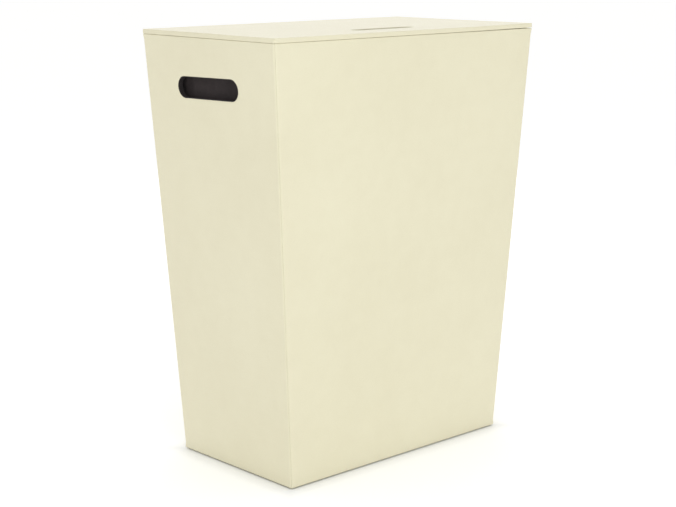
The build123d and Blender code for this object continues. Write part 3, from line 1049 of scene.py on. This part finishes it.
# %% Material helpers
def new_material(name, specular, sheen=0.0, coat=0.0):
    """Material with a Principled BSDF whose even values are set on its own sockets."""
    material = bpy.data.materials.new(name)
    material.use_nodes = True
    shader = material.node_tree.nodes["Principled BSDF"]
    shader.inputs["Specular IOR Level"].default_value = specular
    shader.inputs["Sheen Weight"].default_value = sheen
    shader.inputs["Sheen Roughness"].default_value = 0.5
    shader.inputs["Coat Weight"].default_value = coat
    shader.inputs["Coat Roughness"].default_value = 0.35
    return material, material.node_tree, shader


def use_group(tree, group, **values):
    """Group node in a material, with its inputs fed by sockets or set to values."""
    node = tree.nodes.new("ShaderNodeGroup")
    node.node_tree = group
    for label, value in values.items():
        if isinstance(value, bpy.types.NodeSocket):
            tree.links.new(value, node.inputs[label])
        else:
            node.inputs[label].default_value = value
    return node


def paint_shade(tree, colour, shade_colour, share):
    """Painted shade: colour multiplied by a darker shade colour, by a share given by a socket."""
    node = tree.nodes.new("ShaderNodeMix")
    node.data_type, node.blend_type = "RGBA", "MULTIPLY"
    tree.links.new(share, node.inputs["Factor"])
    tree.links.new(colour, node.inputs[6])
    node.inputs[7].default_value = shade_colour
    return node.outputs[2]


def bump(tree, shader, height, distance, strength=1.0):
    """Feeds a height in metres of relief into the shader's normal."""
    node = tree.nodes.new("ShaderNodeBump")
    node.inputs["Distance"].default_value = distance
    node.inputs["Strength"].default_value = strength
    tree.links.new(height, node.inputs["Height"])
    tree.links.new(node.outputs["Normal"], shader.inputs["Normal"])


def coordinates(tree, kind="Object"):
    """Object or UV coordinates of the piece itself."""
    return tree.nodes.new("ShaderNodeTexCoord").outputs[kind]


def cloth_coordinates(tree, level):
    """Weave coordinates: across and up on a wall (x + y, z), or x and y on a level piece."""
    parts = tree.nodes.new("ShaderNodeSeparateXYZ")
    tree.links.new(coordinates(tree), parts.inputs[0])
    joined = tree.nodes.new("ShaderNodeCombineXYZ")
    if level:
        first, second = parts.outputs["X"], parts.outputs["Y"]
    else:
        first, second = math_node(tree, "ADD", parts.outputs["X"], parts.outputs["Y"]), parts.outputs["Z"]
    tree.links.new(first, joined.inputs[0])
    tree.links.new(second, joined.inputs[1])
    return joined.outputs[0]


# %% Leather
def make_leather(name, dark, light):
    """Coated leather: pressed grain in the normal, painted shade darkening the grain's creases, a satin
    surface.
    """
    material, tree, shader = new_material(name, specular=0.5, coat=0.25)
    place = coordinates(tree)
    tone = use_group(tree, tone_group, Vector=place, Size=5.0, Dark=dark, Light=light)
    grain = use_group(tree, grain_group, Vector=place, Scale=1050.0)
    # Painted shade: the colour is darkened along the grain's creases, where shade falls between the pebbles.
    share = math_node(tree, "MULTIPLY", grain.outputs["Valley"], 0.10)
    crease_shaded = paint_shade(tree, tone.outputs["Color"], (0.62, 0.56, 0.42, 1), share)
    tree.links.new(crease_shaded, shader.inputs["Base Color"])
    tree.links.new(remap(tree, grain.outputs["Valley"], 0.0, 1.0, 0.36, 0.55), shader.inputs["Roughness"])
    bump(tree, shader, grain.outputs["Height"], 0.05 * MM, 0.55)
    return material


# %% Cloths
def make_cloth(name, dark, light, threads, relief, level=False, sheen=0.08, uv=False):
    """Woven cloth: plain weave relief, painted shade where the threads pass under, a slow unevenness of tone,
    a soft dull surface.
    """
    material, tree, shader = new_material(name, specular=0.2, sheen=sheen)
    place = coordinates(tree, "UV") if uv else cloth_coordinates(tree, level)
    tone = use_group(tree, tone_group, Vector=place, Size=14.0, Dark=dark, Light=light)
    weave = use_group(tree, weave_group, Vector=place, Threads=threads)
    # Painted shade: the colour is darkened where the weave is low, in the hollows between threads.
    share = remap(tree, weave.outputs["Height"], 0.2, 1.3, 0.45, 0.0)
    shaded = paint_shade(tree, tone.outputs["Color"], (0.35, 0.35, 0.35, 1), share)
    tree.links.new(shaded, shader.inputs["Base Color"])
    tree.links.new(remap(tree, weave.outputs["Fibre"], 0.3, 0.7, 0.75, 0.95), shader.inputs["Roughness"])
    bump(tree, shader, weave.outputs["Height"], relief, 0.8)
    return material


# %% Board, wood, steel and plastic
def make_speckled(name, dark, light, size, roughness, relief, stretch=(1, 1, 1), specular=0.3,
                  metallic=0.0):
    """Speckled or streaked solid: noise stretched along an axis gives fibres, streaks or grit."""
    material, tree, shader = new_material(name, specular=specular)
    shader.inputs["Metallic"].default_value = metallic
    scaled = tree.nodes.new("ShaderNodeVectorMath")
    scaled.operation = "MULTIPLY"
    tree.links.new(coordinates(tree), scaled.inputs[0])
    scaled.inputs[1].default_value = stretch
    tone = use_group(tree, tone_group, Vector=scaled.outputs[0], Size=size, Dark=dark, Light=light)
    fine = texture(tree, "Noise", scaled.outputs[0], size * 14, Detail=4.0)
    tree.links.new(tone.outputs["Color"], shader.inputs["Base Color"])
    tree.links.new(remap(tree, fine.outputs["Fac"], 0.3, 0.7, roughness - 0.08, roughness + 0.08),
                   shader.inputs["Roughness"])
    bump(tree, shader, fine.outputs["Fac"], relief, 0.6)
    return material


def grey(value, warm=0.0):
    """Opaque grey with a little more red in it."""
    return (value * (1 + warm), value, value, 1)


finishes = {
    "cream_leather": make_leather("cream_leather", (0.785, 0.735, 0.540, 1), (0.815, 0.768, 0.572, 1)),
    "fibreboard": make_speckled("fibreboard", (0.36, 0.25, 0.15, 1), (0.50, 0.37, 0.23, 1), 60, 0.8,
                                0.08 * MM),
    "batten_wood": make_speckled("batten_wood", (0.50, 0.35, 0.20, 1), (0.68, 0.52, 0.33, 1), 40, 0.7,
                                 0.1 * MM, stretch=(1, 1, 0.06)),
    "pin_steel": make_speckled("pin_steel", grey(0.50), grey(0.62), 300, 0.35, 0.01 * MM, metallic=1.0),
    "lining_cloth": make_cloth("lining_cloth", grey(0.026, 0.25), grey(0.040, 0.25), 1400, 0.10 * MM),
    "liner_plastic": make_speckled("liner_plastic", grey(0.024, 0.2), grey(0.032, 0.2), 220, 0.55, 0.02 * MM),
    "underside_sheet": make_speckled("underside_sheet", grey(0.022), grey(0.045), 260, 0.9, 0.12 * MM),
    "foot_rubber": make_speckled("foot_rubber", grey(0.040), grey(0.058), 180, 0.75, 0.04 * MM),
    "bumper_rubber": make_speckled("bumper_rubber", grey(0.30, 0.05), grey(0.38, 0.05), 400, 0.3, 0.01 * MM,
                                   specular=0.5),
    "hook_tape": make_speckled("hook_tape", grey(0.018), grey(0.040), 900, 0.7, 0.25 * MM),
    "loop_tape": make_speckled("loop_tape", grey(0.026, 0.1), grey(0.060, 0.1), 700, 0.95, 0.35 * MM),
    "bag_cloth": make_cloth("bag_cloth", grey(0.029, 0.30), grey(0.045, 0.30), 1100, 0.14 * MM, uv=True),
    "webbing": make_cloth("webbing", grey(0.030, 0.28), grey(0.050, 0.28), 520, 0.35 * MM, uv=True),
}
lid_cloth = make_cloth("lid_lining_cloth", grey(0.026, 0.25), grey(0.040, 0.25), 1400, 0.10 * MM, level=True)
thread_cream = make_speckled("cream_thread", (0.70, 0.65, 0.47, 1), (0.80, 0.75, 0.56, 1), 900, 0.7,
                             0.05 * MM, stretch=(1, 3, 3))
thread_dark = make_speckled("dark_thread", grey(0.05, 0.1), grey(0.09, 0.1), 900, 0.7, 0.05 * MM)

# %% [markdown]
# The finish of each frame node is set on its own material slots, by the slot name that the
# record gives it. The new pieces take theirs in the same way.

# %% Put the finishes on
def set_finish(piece, material):
    """Gives a piece one material in every slot."""
    if not piece.data.materials:
        piece.data.materials.append(material)
    for slot in piece.material_slots:
        slot.material = material


slot_of = {row["node"]: row["material_slot"] for row in frame["record"]["subparts"]}
for name, node in frame["nodes"].items():
    set_finish(node, finishes[slot_of[name]])
for name in ("lid_lining", "base_lining"):
    set_finish(frame["nodes"][name], lid_cloth)
for material, pieces in ((finishes["cream_leather"], [hinge_strip, leather_lid, *covers.values()]),
                         (finishes["bag_cloth"], [bag, bag_hem]),
                         (finishes["webbing"], list(webbing.values())),
                         (thread_cream, [hinge_stitches]), (thread_dark, hem_rows)):
    for piece in pieces:
        set_finish(piece, material)

# %% [markdown]
# ## Floor, light and camera
# A pale floor that glows a little under a white sky gives the even light of a studio. It does
# not glow under the hamper, so a fine dark line still shows where the box stands. A broad
# lamp in front lifts the long face above the short one. A second one stands low behind, where
# the lid mirrors it at a glancing angle, and that is why the lid looks paler than the walls.

# %% Stage
def flat_square(name, half):
    """Level square round the origin."""
    mesh = bpy.data.meshes.new(name)
    mesh.from_pydata([(-half, -half, 0), (half, -half, 0), (half, half, 0), (-half, half, 0)], [],
                     [(0, 1, 2, 3)])
    return add_object(name, mesh)


FLOOR_GLOW = 0.19
floor = flat_square("floor", 30)
floor_paint, floor_tree, floor_shader = new_material("floor_paint", specular=0.1)
floor_shader.inputs["Base Color"].default_value = (0.93, 0.93, 0.92, 1)
floor_shader.inputs["Roughness"].default_value = 0.9
floor_shader.inputs["Emission Color"].default_value = (1, 1, 1, 1)
floor_parts = floor_tree.nodes.new("ShaderNodeSeparateXYZ")
floor_tree.links.new(coordinates(floor_tree), floor_parts.inputs[0])
past = []
for axis, reach in (("X", half_length), ("Y", half_width)):
    size = math_node(floor_tree, "ABSOLUTE", floor_parts.outputs[axis])
    past.append(math_node(floor_tree, "SUBTRACT", size, float(reach(foot_z))))
past_edge = math_node(floor_tree, "MAXIMUM", past[0], past[1])
glow = remap(floor_tree, past_edge, -2 * MM, 25 * MM, 0.0, FLOOR_GLOW)
floor_tree.links.new(glow, floor_shader.inputs["Emission Strength"])
floor.data.materials.append(floor_paint)

SKY_LOW, SKY_HIGH = 0.44, 1.10      # brightness of the sky at the horizon and overhead
world = bpy.data.worlds.new("white_sky")
world.use_nodes = True
sky = world.node_tree
sky.nodes["Background"].inputs["Color"].default_value = (1, 1, 1, 1)
sky_parts = sky.nodes.new("ShaderNodeSeparateXYZ")
sky.links.new(sky.nodes.new("ShaderNodeTexCoord").outputs["Generated"], sky_parts.inputs[0])
sky_strength = remap(sky, sky_parts.outputs["Z"], 0.0, 1.0, SKY_LOW, SKY_HIGH)
sky.links.new(sky_strength, sky.nodes["Background"].inputs["Strength"])
bpy.context.scene.world = world
bpy.context.scene.view_settings.view_transform = "Standard"


def aim(thing, place, target):
    """Stands a lamp or camera at a place and turns it to look at a target."""
    thing.location = place
    thing.rotation_euler = (Vector(target) - Vector(place)).to_track_quat("-Z", "Y").to_euler()


def soft_lamp(name, place, target, size, power, colour=(1, 1, 1)):
    """Square area lamp aimed at a point."""
    lamp = bpy.data.lights.new(name, "AREA")
    lamp.size, lamp.energy, lamp.color = size, power, colour
    thing = bpy.data.objects.new(name, lamp)
    bpy.context.scene.collection.objects.link(thing)
    aim(thing, place, target)
    return thing


soft_lamp("key_lamp", (-1.6, -2.5, 1.5), (0, 0, 0.3), 1.6, 20, (0.93, 1, 1))
soft_lamp("back_lamp", (1.65, 1.77, 1.25), (0, 0, 0.6), 2.0, 9)

# %% Camera
view_azimuth, view_elevation, view_distance = math.radians(-42.89), math.radians(11.75), 2.177
look_at = Vector((-0.0096, 0, 0.277))
back = Vector((math.sin(view_azimuth) * math.cos(view_elevation),
               -math.cos(view_azimuth) * math.cos(view_elevation), math.sin(view_elevation)))
camera = bpy.data.objects.new("camera", bpy.data.cameras.new("camera"))
camera.data.lens, camera.data.sensor_width = 80.8, 36.0
bpy.context.scene.collection.objects.link(camera)
aim(camera, look_at + back * view_distance, look_at)
bpy.context.scene.camera = camera
